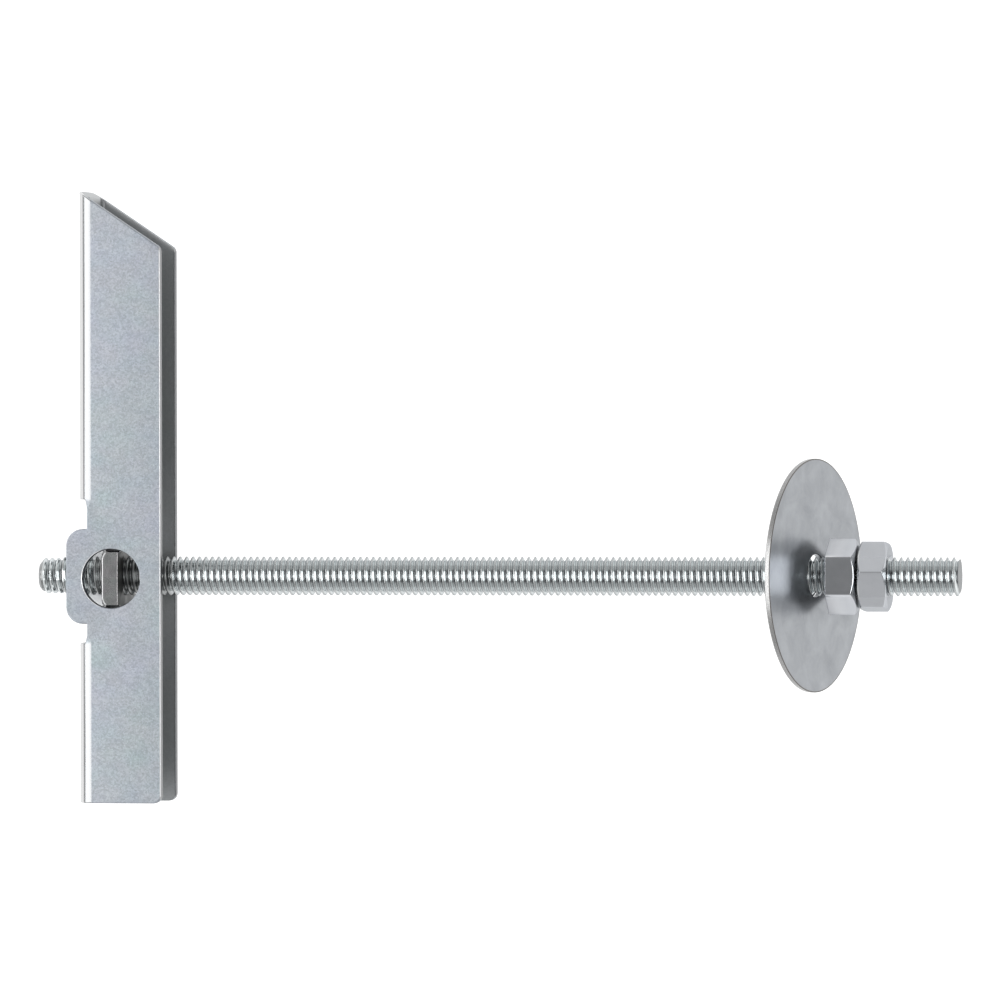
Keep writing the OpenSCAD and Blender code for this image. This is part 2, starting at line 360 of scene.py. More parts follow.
def soften(section, reach, steps=4):
    """Rounds every corner of a closed section, given as rows of points.

    Each corner B gives way to the quadratic curve (1-t)^2 A + 2 t (1-t) B + t^2 C, whose ends A and C
    lie at most reach from it. reach is one number for each corner. One more row just past each end of
    the curve keeps the flats beside it flat to the light, so a corner becomes steps + 2 rows."""
    before, after = np.roll(section, 1, 0), np.roll(section, -1, 0)
    reach = np.reshape(reach, (-1,) + (1,) * (section.ndim - 1))

    def toward(other, most, share):
        step = other - section
        length = np.linalg.norm(step, axis=-1, keepdims=True)
        return section + step / np.maximum(length, 1e-9) * np.minimum(most, share * length)

    first, last = toward(before, reach, CURVE_SHARE), toward(after, reach, CURVE_SHARE)
    t = np.linspace(0, 1, steps).reshape(-1, *(1,) * section.ndim)
    curve = (1 - t) ** 2 * first + 2 * t * (1 - t) * section + t**2 * last
    past = [toward(other, reach + HOLD, FLAT_SHARE)[None] for other in (before, after)]
    curve = np.concatenate([past[0], curve, past[1]])
    return curve.swapaxes(0, 1).reshape(-1, *section.shape[1:])


# %% [markdown]
# ## The rolled thread
# M6 all-thread is rolled between dies: one ridge winds round the rod, 1 mm further for each turn, with
# flanks at 60 degrees to each other, a slightly rounded crest and a rounder root. A screw modifier
# could sweep the profile, but its ends would be hard to close. A formula is easier: the radius at any
# place depends only on how far along the pitch that place lies, once the turn is taken off. The two
# ends are then just lower limits on the same radius.

# %% Thread profile
PITCH = 1.0
ROD_TIP, (ROD_END, CREST_R) = LOW["threaded_rod"][0], HIGH["threaded_rod"][:2]
CREST_ROUND, ROOT_ROUND = 0.10, 0.12
CREST_FLAT, ROOT_FLAT = 0.02, 0.01
CREST_AT = 0.47  # where the ridge crosses the bar's side of the rod, past the pivot

lean = np.radians([0, 20, 40, 60])
crest_d = CREST_FLAT + CREST_ROUND * np.sin(lean)
crest_r = CREST_R - CREST_ROUND * (1 - np.cos(lean))
root_d = 0.5 * PITCH - ROOT_FLAT - ROOT_ROUND * np.sin(lean[::-1])
flank_drop = (root_d[0] - crest_d[-1]) * math.tan(lean[-1])
root_r = crest_r[-1] - flank_drop - ROOT_ROUND * (np.cos(lean[::-1]) - math.cos(lean[-1]))
PROFILE_D = np.concatenate([crest_d, root_d])
PROFILE_R = np.concatenate([crest_r, root_r])
print("thread depth in mm:", round(CREST_R - PROFILE_R.min(), 3))


def thread_radius(x, angle):
    """Radius of the thread at x along the rod and an angle round it.

    The ridge's crest lies at x = CREST_AT + PITCH * angle / 2 pi, a right-hand thread. The radius is
    read from the profile by the distance to the nearest crest."""
    turns = (x - CREST_AT) / PITCH - angle / (2 * np.pi)
    return np.interp(np.abs(turns - np.round(turns)) * PITCH, PROFILE_D, PROFILE_R)


# %% Threaded rod
TIP_CONE, TIP_FACE_R, END_CHAMFER = 0.9, 1.95, 0.3
WORN_X, TIP_WEAR = -8.0, 0.22  # the crests are worn down on the last stretch before the tip
CAP_SHARES = np.array([0.0, 0.35, 0.7, 0.94])[:, None]  # rings on an end face, as shares of its radius


def rod_grid(columns=36):
    """The rod's skin: each row follows the thread round the rod, at one phase of the pitch.

    Rows past an end are pulled back on to it, and a last few rows shrink to the end face's middle."""
    angle = np.linspace(0, 2 * np.pi, columns + 1)[None, :]
    phase = np.concatenate([PROFILE_D, PITCH - PROFILE_D[::-1]])
    first_turn = math.floor((ROD_TIP - CREST_AT) / PITCH) - 1
    turns = np.arange(first_turn, math.ceil((ROD_END - CREST_AT) / PITCH) + 1)
    along = (CREST_AT + turns[:, None] * PITCH + phase[None, :]).reshape(-1, 1)
    x = np.clip(along + PITCH * angle / (2 * np.pi), ROD_TIP, ROD_END)
    r = thread_radius(x, angle)
    r = np.minimum(r, TIP_FACE_R + (x - ROD_TIP) * (CREST_R - TIP_FACE_R) / TIP_CONE)
    r = np.minimum(r, CREST_R - TIP_WEAR * np.clip(WORN_X - x, 0, 1))
    r = np.minimum(r, CREST_R - END_CHAMFER + (ROD_END - x))
    caps = [np.full((len(CAP_SHARES), columns + 1), end) for end in (ROD_TIP, ROD_END)]
    x = np.concatenate([caps[0], x, caps[1]])
    r = np.concatenate([CAP_SHARES * r[:1], r, CAP_SHARES[::-1] * r[-1:]])
    return round_the_axis(x, r, angle)


rod = make_piece("threaded_rod", "rod_zinc", *skin(rod_grid(), False, False))

# %% [markdown]
# ## The hexagon nuts
# A cold-formed nut is a hexagon whose corners a 30 degree cone has cut back, which leaves an arch on
# every flat. A boolean would make that too, but a formula gives cleaner faces: the cone's height
# depends only on the distance from the axis, so each point of the hexagon's outline knows where its
# wall has to end. The first nut keeps its sharp face towards the washer.

# %% Hexagon outline
NUT_FLATS, RIDGE_ROUND = 10.0, 0.18


def hexagon_outline(turn, per_arc=5, per_side=11):
    """Distance and angle of the points of a hexagon with rounded ridges.

    Each ridge is an arc of RIDGE_ROUND about a centre set back from the corner, and each flat is a
    straight line from arc to arc."""
    ridge = np.radians(np.arange(30, 390, 60))[:, None]
    swing = ridge + np.radians(np.linspace(-30, 30, per_arc))[None, :]
    back = (NUT_FLATS / 2 - RIDGE_ROUND) / math.cos(math.radians(30))
    arc = np.stack([back * np.cos(ridge) + RIDGE_ROUND * np.cos(swing),
                    back * np.sin(ridge) + RIDGE_ROUND * np.sin(swing)], -1)
    share = np.linspace(0, 1, per_side)[1:-1][None, :, None]
    side = (1 - share) * arc[:, -1:] + share * np.roll(arc, -1, 0)[:, :1]
    outline = np.concatenate([arc, side], 1).reshape(-1, 2)
    distance = np.hypot(outline[:, 0], outline[:, 1])
    # a flat that faces straight along the pivot axis is at 90 degrees, and turn leans it over
    return distance, np.arctan2(outline[:, 1], outline[:, 0]) + math.radians(90 + turn)


# %% Hexagon nuts
HEX_NUT_X, NUT_T = LOW["hex_nut"][0], middle_and_width("hex_nut", 0)[1]
LOCK_NUT_X = LOW["lock_nut"][0]
HEX_NUT_TURN, LOCK_NUT_TURN = -2.5, 22
FACE_R, BORE_R, BORE_LEAD = 4.75, 3.0, 0.3
# how far each corner of the section is rounded: mouth, face and wall on both sides
NUT_ROUNDS = [0.05, 0.06, 0.09, 0.09, 0.10, 0.05]


def bore_radius(x, angle):
    """Radius of an internal thread that meshes with the rod's, a little wider than it."""
    return thread_radius(x, angle) + BORE_R - CREST_R


def nut_grid(start, turn, near_chamfer):
    """A nut's skin: out over the near face, along the wall, in over the far face, down the thread."""
    distance, angle = hexagon_outline(turn)
    fall = (distance - FACE_R) * math.tan(math.radians(30))
    mouth, flat = BORE_R + BORE_LEAD, 0 * distance
    corners = [(flat, mouth + flat), (flat, FACE_R + flat), (fall, distance),
               (NUT_T - fall, distance), (NUT_T + flat, FACE_R + flat), (NUT_T + flat, mouth + flat)]
    rounds = list(NUT_ROUNDS)
    if not near_chamfer:
        # the near face runs out to the hexagon itself: one corner less
        corners[1:3], rounds[1:2] = [(flat, distance)], []
    outside = np.stack([np.stack(corner, -1) for corner in corners])
    depth = np.linspace(NUT_T - BORE_LEAD, BORE_LEAD, 60)[:, None]
    inside = np.stack(np.broadcast_arrays(depth, bore_radius(start + depth, angle[None, :])), -1)
    closed = np.concatenate([outside, inside[:1], inside[-1:]])
    softened = soften(closed, rounds + [0.0, 0.0])
    rows_each = len(softened) // len(closed)
    section = np.concatenate([softened[: rows_each * len(outside)], inside])
    return round_the_axis(start + section[..., 0], section[..., 1], angle[None, :])


hex_nut = make_piece("hex_nut", "nut_zinc", *skin(nut_grid(HEX_NUT_X, HEX_NUT_TURN, False)))
lock_nut = make_piece("lock_nut", "nut_zinc", *skin(nut_grid(LOCK_NUT_X, LOCK_NUT_TURN, True)))

# %% [markdown]
# ## The washer
# A washer is punched from sheet. The punch rolls the edge over on the side that it enters and leaves a
# nearly sharp edge on the other, so the two rims differ. A cylinder with a bevel would round both
# alike. Here a section with its own rounding at each corner is carried round the washer's axis, which
# leans on the rod.

# %% Washer
WASHER_X = middle_and_width("washer", 0)[0]
WASHER_RISE, WASHER_WIDTH = middle_and_width("washer", 1)
WASHER_R, WASHER_HOLE_R, WASHER_T = WASHER_WIDTH / 2, 3.24, 0.8
WASHER_LEAN = math.radians(15.05009)
# how far the corners are rounded: hole and rim on the back, then rim and hole on the front
WASHER_ROUNDS, WASHER_CURVE = [0.10, 0.22, 0.06, 0.12], 5


def washer_grid(columns=160):
    """A flat ring: a softened rectangle carried round an axis that leans away from the rod's."""
    half = WASHER_T / 2
    corners = [[-half, WASHER_HOLE_R], [-half, WASHER_R], [half, WASHER_R], [half, WASHER_HOLE_R]]
    section = soften(np.array(corners), WASHER_ROUNDS, WASHER_CURVE)
    back_hole, back_rim, front_rim, front_hole = np.split(section, 4)
    across = np.linspace(0, 1, 12)[1:-1, None]
    back = back_hole[-1] * (1 - across) + back_rim[0] * across
    front = front_rim[-1] * (1 - across) + front_hole[0] * across
    section = np.concatenate([back_hole, back, back_rim, front_rim, front, front_hole])
    angle = np.linspace(0, 2 * np.pi, columns, endpoint=False)
    ring = round_the_axis(section[:, :1], section[:, 1:], angle[None, :])
    x = ring[..., 0] * math.cos(WASHER_LEAN) - ring[..., 2] * math.sin(WASHER_LEAN)
    z = ring[..., 0] * math.sin(WASHER_LEAN) + ring[..., 2] * math.cos(WASHER_LEAN)
    return np.stack([WASHER_X + x, WASHER_RISE + ring[..., 1], z], -1)


washer = make_piece("washer", "washer_zinc", *skin(washer_grid()))

# %% [markdown]
# ## The plate nut
# The plate that carries the thread is punched in the shape of a short cross: a body between the
# flanges, and a tab through each pivot hole. The punch has rolled its edges over on the tip's side,
# and the tabs most, which lets them turn in their round holes. A bevel modifier gives every edge one
# width. Here each point of the outline carries the width of its own rolled edge.

# %% Plate nut outline
PLATE_X, PLATE_T = middle_and_width("pivot_nut", 0)  # the plate lies against the pivot holes' far side
BODY_H, PLATE_W = middle_and_width("pivot_nut", 1)[1], middle_and_width("pivot_nut", 2)[1]
TAB_H, BODY_W = 8.1, 9.3
TAB_CORNER, SHOULDER, BODY_CORNER = 0.12, 0.25, 0.3
# widths of the rolled edge: a tab's end and what it gains, the tab's corner, the shoulder, the body
TAB_ROLL, TAB_ROLL_GAIN, CORNER_ROLL, SHOULDER_ROLL, BODY_ROLL = 0.22, 0.5, 0.74, 0.8, 0.4
GAIN_FROM, GAIN_TO = 1.3, 0.15  # the stretch over which a tab's roll widens, back from its corner


def split_long(points, carried, gap):
    """Adds points along the straight edges, so that no two are further apart than gap.

    carried holds one row for each point, and the new points get rows in between."""
    ahead, carried_ahead = np.roll(points, -1, 0), np.roll(carried, -1, 0)
    lengths = np.linalg.norm(ahead - points, axis=1)
    counts = np.maximum(np.ceil(lengths / gap - 1e-6).astype(int), 1)
    start = np.repeat(np.arange(len(points)), counts)
    step = np.arange(counts.sum()) - np.repeat(np.cumsum(counts) - counts, counts)
    share = (step / counts[start])[:, None]
    return (points[start] * (1 - share) + ahead[start] * share,
            carried[start] * (1 - share) + carried_ahead[start] * share)


def left_of(steps):
    """The direction to the left of each step from point to point."""
    return np.stack([-steps[:, 1], steps[:, 0]], -1) / np.linalg.norm(steps, axis=1, keepdims=True)


def plate_outline():
    """The cross seen along the rod, as points (z, y), and the width of the rolled edge at each.

    One quarter runs from the middle of a tab's end to the middle of the body's long edge, with a
    quadratic curve at each of its three corners. Mirrors make the rest."""
    w, h, bw, bh = PLATE_W / 2, TAB_H / 2, BODY_W / 2, BODY_H / 2
    grow = np.linspace(0, 1, 6)
    t = np.linspace(0, 1, 5)[:, None]

    def curve(*ends_and_corner):
        first, corner, last = np.array(ends_and_corner)
        return (1 - t) ** 2 * first + 2 * t * (1 - t) * corner + t * t * last

    quarter = np.concatenate([
        [(w, 0.0)],
        np.stack([np.full(6, w), h - GAIN_FROM * (1 - grow) - GAIN_TO * grow], -1),
        curve((w, h - TAB_CORNER), (w, h), (w - TAB_CORNER, h)),
        curve((bw + SHOULDER, h), (bw, h), (bw, h + SHOULDER)),
        curve((bw, bh - BODY_CORNER), (bw, bh), (bw - BODY_CORNER, bh)),
        [(0.0, bh)],
    ])
    roll = np.concatenate([
        [TAB_ROLL],
        TAB_ROLL + TAB_ROLL_GAIN * grow**2,
        np.linspace(CORNER_ROLL, SHOULDER_ROLL, 5),
        np.linspace(SHOULDER_ROLL, BODY_ROLL, 5),
        np.full(6, BODY_ROLL),
    ])
    half = np.concatenate([quarter, quarter[::-1][1:] * [-1, 1]])
    half_roll = np.concatenate([roll, roll[::-1][1:]])
    outline = np.concatenate([half, (-half)[1:-1]])
    return outline, np.concatenate([half_roll, half_roll[1:-1]])[:, None]


# %% Plate nut
OUTLINE_GAP = 0.5
# the edge on the washer's side, from the face to the wall: how far in from the outline, how deep
SHARP_EDGE = np.array([(0.11, 0), (0.08, 0), (0.02, 0.02), (0, 0.08), (0, 0.11)])


def plate_grid():
    """The plate's skin: down its wall, round the rolled edge, in over that face and back by the thread.

    A point of the outline moves inwards along the outline's own normal as the edge rolls over, by a
    quarter of an ellipse as wide and as deep as the roll."""
    outline, roll = split_long(*plate_outline(), OUTLINE_GAP)
    normal = left_of(np.roll(outline, -1, 0) - np.roll(outline, 1, 0))
    normal *= np.sign((normal * outline).sum())
    half, roll, wall = PLATE_T / 2, roll.T, np.zeros((1, len(outline)))
    sweep = np.radians(np.linspace(0, 90, 7))[:, None]
    inset = [SHARP_EDGE[:, :1] + wall, wall, roll * (1 - np.cos(sweep)), roll + HOLD]
    depth = [half - SHARP_EDGE[:, 1:] + wall, roll + HOLD - half, roll * (1 - np.sin(sweep)) - half,
             wall - half]
    rows = outline - normal * np.concatenate(inset)[..., None]
    plate_x, plate_y = PLATE_X + np.concatenate(depth), rows[..., 1] - PIVOT_DROP
    plate = np.stack([plate_x, plate_y, rows[..., 0]], -1)

    angle = np.arctan2(rows[-1][:, 0], rows[-1][:, 1])[None, :]  # from y towards z
    hole_x = np.linspace(BORE_LEAD - half, half - BORE_LEAD, 30)[:, None] + wall
    mouth = BORE_R + BORE_LEAD + wall
    cut_x = np.concatenate([wall - half, hole_x, wall + half])
    cut_r = np.concatenate([mouth, bore_radius(PLATE_X + hole_x, angle), mouth])
    return np.concatenate([plate, round_the_axis(PLATE_X + cut_x, cut_r, angle)])


pivot_nut = make_piece("pivot_nut", "plate_nut_steel", *skin(plate_grid()))

# %% [markdown]
# ## The toggle bar
# The bar is one strip of sheet, punched flat and then folded twice. It is easiest to model it the same
# way. First comes the flat blank: its outline, the window and the two round holes, as loops of points
# that each know which way the metal lies. Then one function folds any point of the blank, at any depth
# in the sheet, to its place in the channel.

# %% The fold
SHEET_T, BEND_R = 1.5, 1.35  # BEND_R is measured to the middle of the sheet
BEND_X, FLANGE_Z = -3.1, HIGH["toggle_bar"][2] - SHEET_T / 2
BEND_START = 4.2
BEND_END = BEND_START + BEND_R * math.pi / 2
PIVOT_S = BEND_END - BEND_X
FREE_EDGE, WEB_OUT = HIGH["toggle_bar"][0], 5.2  # from the rod's axis to each side of the channel
FREE_EDGE_S = PIVOT_S + FREE_EDGE
LONG_ARM = HIGH["toggle_bar"][1] + PIVOT_DROP
SHORT_ARM = -LOW["toggle_bar"][1] - PIVOT_DROP
BEVEL = math.tan(math.radians(34))
WINDOW_UP, WINDOW_DOWN = 12.0325, 9.8193
UNBENT = 1.2  # how far into the window the bend runs out
SLIDE_FROM, SLIDE_OVER = 50, 6  # where along the bar the sloping cut of the tip begins


def fold(s, y, h):
    """Folds the flat blank: s lies across it from the web's middle, y along it from the pivot, h above
    mid-sheet.

    With a = |s|, the sheet is flat up to BEND_START, then turns through the angle
    (a - BEND_START) / BEND_R until it has turned a right angle, and is flat again. Beside the ears the
    sheet was never bent, so there it is blended with the unfolded flange. Near the long tip the cut
    slopes through the sheet's thickness, which slides the points along the bar."""
    a = np.abs(s)
    bend = np.clip((a - BEND_START) / BEND_R, 0, math.pi / 2)
    x = BEND_X - BEND_R * np.cos(bend) + np.maximum(a - BEND_END, 0)
    z = np.minimum(a, BEND_START) + BEND_R * np.sin(bend)
    share = np.clip(np.where(y > 0, WINDOW_UP - y, y + WINDOW_DOWN) / UNBENT, 0, 1)
    share = np.where(a < BEND_END, share**2 * (3 - 2 * share), 0)
    x, z = x + share * (a - PIVOT_S - x), z + share * (FLANGE_Z - z)
    outward_x, outward_z = -np.cos(bend) * (1 - share), np.sin(bend) * (1 - share) + share
    length = np.hypot(outward_x, outward_z)
    slide = -h * outward_x / length * BEVEL * np.clip((y - SLIDE_FROM) / SLIDE_OVER, 0, 1)
    x, z = x + h * outward_x / length, z + h * outward_z / length
    return np.stack([x, y + slide - PIVOT_DROP, np.sign(s) * z], -1)


# %% Loops with rounded corners
def rounded(corners, steps=9):
    """A closed loop through corners given as (s, y, radius), with the metal on its left.

    Returns the points and, for each, the direction into the metal. A corner with a radius becomes an
    arc; one without is kept, and moves straight along the bar if its edge is cut across the bar."""
    place, radius = np.array(corners)[:, :2], np.array(corners)[:, 2]
    before, after = place - np.roll(place, 1, 0), np.roll(place, -1, 0) - place
    cross = before[:, 0] * after[:, 1] - before[:, 1] * after[:, 0]
    turn = np.arctan2(cross, (before * after).sum(1))
    points, inward = [], []
    for p, r, first, last, a in zip(place, radius, left_of(before), left_of(after), turn):
        middle = (first + last) / np.linalg.norm(first + last)
        if r == 0:
            level = abs(middle[1]) > 0.5
            inward.append([[0, 1 / middle[1]]] if level else [middle / (middle @ first)])
            points.append([p])
            continue
        side = np.sign(a)
        centre = p + side * middle * r / math.cos(a / 2)
        t = np.linspace(0, 1, steps)[:, None]
        normal = (np.sin((1 - t) * abs(a)) * first + np.sin(t * abs(a)) * last) / math.sin(abs(a))
        points.append(centre - side * r * normal)
        inward.append(normal)
    return np.concatenate(points), np.concatenate(inward)


def mirrored(right):
    """Corners of the right half from its last point back, mirrored to the left half."""
    return [(-s, y, r) for s, y, r in right[::-1]]


# %% The blank's outline, window and holes
LIP_S, EAR_S, EAR_UP, EAR_DOWN = BEND_END - 0.66, PIVOT_S - 7.0, 7.55, 6.9
FLANGE_CORNER, EAR_CORNER, LIP_CORNER, WINDOW_CORNER = 1.2, 2.57, 0.12, 0.2
HOLE_R, HOLE_POINTS, WINDOW_GAP = 4.5185, 80, 0.6
EDGE_ROUND, HOLE_ROUND, INNER_ROUND, EDGE_HOLD = 0.16, 0.12, 0.1, 0.02
# lines across which the sheet turns a few degrees each: four reach the window's ends, and the next two
# lie beside its lips
FOLD_STEP = 0.315
WINDOW_LINES = BEND_START + FOLD_STEP * np.arange(4)
LIP_LINES = LIP_S - WINDOW_CORNER, LIP_S + EDGE_ROUND + EDGE_HOLD
FOLD_LINES = np.array([*WINDOW_LINES, *LIP_LINES, BEND_START + 6 * FOLD_STEP, BEND_END])

bend_lines = FOLD_LINES[::-1]
bend_x = BEND_X - BEND_R * np.cos((bend_lines - BEND_START) / BEND_R)
bend_ends = LONG_ARM - (bend_x + WEB_OUT) * BEVEL
free_end = LONG_ARM - (FREE_EDGE + WEB_OUT) * BEVEL
right_foot = [(s, -SHORT_ARM, 0) for s in FOLD_LINES] + [(FREE_EDGE_S, -SHORT_ARM, FLANGE_CORNER)]
right_tip = [(FREE_EDGE_S, free_end, FLANGE_CORNER)] + [(s, y, 0) for s, y in zip(bend_lines, bend_ends)]
blank = rounded(right_foot + right_tip + mirrored(right_tip) + mirrored(right_foot))

window_right = (
    [(s, WINDOW_UP, 0) for s in WINDOW_LINES]
    + [(LIP_S, WINDOW_UP, WINDOW_CORNER), (LIP_S, EAR_UP, LIP_CORNER), (EAR_S, EAR_UP, EAR_CORNER)]
    + [(EAR_S, -EAR_DOWN, EAR_CORNER), (LIP_S, -EAR_DOWN, LIP_CORNER)]
    + [(LIP_S, -WINDOW_DOWN, WINDOW_CORNER)]
    + [(s, -WINDOW_DOWN, 0) for s in WINDOW_LINES[::-1]]
)
window = split_long(*rounded(window_right + mirrored(window_right)), WINDOW_GAP)

around = -np.linspace(0, 2 * np.pi, HOLE_POINTS, endpoint=False)
spoke = np.stack([np.cos(around), np.sin(around)], -1)
holes = [(np.array([side * PIVOT_S, 0]) + HOLE_R * spoke, spoke) for side in (-1, 1)]
print("points round the blank:", [len(loop[0]) for loop in (blank, window, *holes)])

# %% Cut edges
def edge_rows(outer_round, inner_round, steps=4):
    """How a cut edge turns from the outer face to the inner one: rows of (how far in, height)."""
    swing = np.linspace(0, math.pi / 2, steps)
    half = SHEET_T / 2
    top = np.stack([outer_round * (1 - np.sin(swing)), half - outer_round * (1 - np.cos(swing))], -1)
    low = np.stack([inner_round * (1 - np.cos(swing)), inner_round * (1 - np.sin(swing)) - half], -1)
    inset = max(outer_round, inner_round) + EDGE_HOLD
    return np.concatenate([[[inset, half]], top, low, [[inset, -half]]])


def cut_edges():
    """The walls of every cut edge: folded points, faces, the two rims of each, and its flat loop."""
    points, quads, upper, lower, flat, start = [], [], [], [], [], 0
    rounds = [EDGE_ROUND, EDGE_ROUND, HOLE_ROUND, HOLE_ROUND]
    for (place, inward), outer_round in zip([blank, window, *holes], rounds):
        row, count = edge_rows(outer_round, INNER_ROUND), len(place)
        grid = place[None] + row[:, None, :1] * inward[None]
        height = np.broadcast_to(row[:, 1:], grid.shape[:2])
        points.append(fold(grid[..., 0].ravel(), grid[..., 1].ravel(), height.ravel()))
        quads.append(start + faces_of(len(row), count, False, True)[:, ::-1])
        upper.append(start + np.arange(count))
        lower.append(start + (len(row) - 1) * count + np.arange(count))
        flat.append(grid[0])
        start += len(row) * count
    return points, quads, upper, lower, flat


# %% The sheet between the cut edges
# where the last two fold lines get extra points, because the bend runs out beside the window
BESIDE_WINDOW = np.concatenate([np.arange(-10.1, -7.2, 0.25), np.arange(7.85, 12.4, 0.25)])
# a step along a fold line that is longer than LONG_STEP between these heights spans the window
WINDOW_LOW, WINDOW_HIGH, LONG_STEP = -11, 13, 3


def inside(points, loop):
    """Which points lie inside a loop, by counting the edges that a ray crosses."""
    a, b = loop, np.roll(loop, -1, 0)
    y, rise = points[:, 1:2], np.where(a[:, 1] == b[:, 1], 1, b[:, 1] - a[:, 1])
    crosses = (a[:, 1] > y) != (b[:, 1] > y)
    at = a[:, 0] + (y - a[:, 1]) / rise * (b[:, 0] - a[:, 0])
    return (crosses & (points[:, :1] < at)).sum(1) % 2 == 1


def creases(plan, loops):
    """Pairs of points that the cut sheet keeps joined: round each loop, and along each fold line.

    A fold line has no edge across the window, where there is no sheet."""
    edges, first = [], 0
    for loop in loops:
        ring = first + np.arange(len(loop))
        edges.append(np.stack([ring, np.roll(ring, -1)], -1))
        first += len(loop)
    for s in np.concatenate([-FOLD_LINES, FOLD_LINES]):
        on_line = np.flatnonzero(np.abs(plan[:, 0] - s) < 1e-6)
        on_line = on_line[np.argsort(plan[on_line, 1])]
        steps = np.stack([on_line[:-1], on_line[1:]], -1)
        low, high = plan[steps, 1].T
        across = (low > WINDOW_LOW) & (high < WINDOW_HIGH) & (high - low > LONG_STEP)
        edges.append(steps[~across])
    return np.concatenate(edges).tolist()


def flat_triangles(plan, loops):
    """The triangles of the flat sheet: inside the first loop and outside the others."""
    found = delaunay_2d_cdt([Vector(p) for p in plan], creases(plan, loops), [], 0, 1e-7)
    print("cut: points in", len(plan), "out", len(found[0]))
    origin = np.array([ids[0] if ids else -1 for ids in found[3]])
    triangles = origin[np.array(found[2])]
    middles = plan[triangles].mean(1)
    keep = inside(middles, loops[0])
    for loop in loops[1:]:
        keep &= ~inside(middles, loop)
    return triangles[keep]


def folded_bar():
    """The bar's points in the rod's frame, its four-cornered faces and its triangles."""
    points, quads, upper, lower, flat = cut_edges()
    lines = [side * s for side in (-1, 1) for s in FOLD_LINES[-2:]]
    extra = np.array([(s, y) for s in lines for y in BESIDE_WINDOW])
    for h, rim in ((SHEET_T / 2, upper), (-SHEET_T / 2, lower)):
        rim.append(sum(map(len, points)) + np.arange(len(extra)))
        points.append(fold(extra[:, 0], extra[:, 1], np.full(len(extra), h)))
    triangles = flat_triangles(np.concatenate([*flat, extra]), flat)
    outer, inner = np.concatenate(upper)[triangles], np.concatenate(lower)[triangles[:, ::-1]]
    return np.concatenate(points), [np.concatenate(quads), np.concatenate([outer, inner])]


toggle_bar = make_piece("toggle_bar", "bar_zinc", *folded_bar())

# %% [markdown]
# ## Finishes
# All the pieces are steel, and each got its surface in its own way. A picture wrapped round a piece
# would need seams. These finishes are formulas on the object's own coordinates: noise for clouds and
# grain, and masks, 0 or 1 with a short ramp between, that say where a place lies on the piece.

# %% [markdown]
# ### The bar
# Galvanised sheet carries crystals of zinc a fraction of a millimetre across. Bending burnishes it,
# and every cut edge shows bare steel, dark where the shears tore it and bright where they slid. Some
# coats are painted light and shade: the bend's steep side and a patch of the inner face round each
# hole are painted lighter, each hole's lip carries a painted highlight, and the hollow of the bend and
# the holes' walls carry painted shade. The crystals are random cells, and the masks come from the
# same sizes that fold the sheet, so they stay on its bends and edges.

# %% Galvanised sheet
SHEET_COOL, SHEET_BLUE, SHEET_WARM = (0.268, 0.312, 0.322), (0.288, 0.308, 0.350), (0.296, 0.306, 0.327)
# the burnished bend is painted twice as light on its steep side by the web: painted light
BEND_FLAT, BEND_STEEP_PAINTED_LIGHT = (0.28, 0.285, 0.29), (0.56, 0.562, 0.565)
# the second of these is painted light on the inner face round each hole, and the third a painted
# highlight on each hole's lip
INNER_FACE, INNER_PAINTED_LIGHT, LIP_HIGHLIGHT = (0.262, 0.268, 0.268), (0.60, 0.61, 0.62), (0.85, 0.86, 0.87)
TORN, SLID, BURR = (0.12, 0.125, 0.13), (0.42, 0.425, 0.43), (0.42, 0.43, 0.435)
# both are painted shade: in the hollow inside the bend, and on the walls of the pivot holes
HOLLOW_SHADE, HOLE_WALL_SHADE = (0.19, 0.195, 0.20), (0.075, 0.085, 0.105)
WINDOW_MIDDLE, WINDOW_HALF = 0.75, 10.6
# squares of distances from the bend's centre line, where its hollow ends and its outer face begins
HOLLOW_R2, BEND_R2 = 0.75, 2.0
# and from the pivot, where the hole's wall and lip end, the flange begins and the patch of painted light
# ends
WALL_R2, LIP_R2, FLANGE_R2, LIT_PATCH_R2 = 20.75, 21.7, 20.8, 60
LIP_X, LIT_PATCH_X = -1.5, -0.5  # the lip's painted highlight and the patch of painted light lie on the tip's side of these
FLANGE_IN, FLANGE_OUT, SLID_FROM = 4.95, 5.9, 5.95  # heights from the channel's middle
STEEP_TO = 1.67  # how far past its start the bend is steep
CUT_FROM, BURR_WIDTH = FREE_EDGE - 0.2, 0.75


def sheet_colour(f, grain, fine, cloud):
    """The open faces: three slow tints, lighter and darker crystals, and faint clouds."""
    cool = f.blend(f.noise(9.0, detail=2.0).contrast(3.0), SHEET_COOL, SHEET_BLUE)
    warm = f.noise(5.0, where=f.in_mm((1, 1.6, 1)), detail=3.0).contrast(3.5)
    tint = f.blend(0.6 * warm, cool, SHEET_WARM)
    speck = (0.5 * grain + 0.5 * fine.contrast(2.0)).clamped()
    spread = f.blend(speck, (0.72, 0.72, 0.73), (1.27, 1.27, 1.26))
    clouds = f.blend(cloud.contrast(2.0), (0.93, 0.93, 0.94), (1.06, 1.06, 1.05))
    return f.blend(1.0, f.blend(1.0, tint, spread, "MULTIPLY"), clouds, "MULTIPLY")


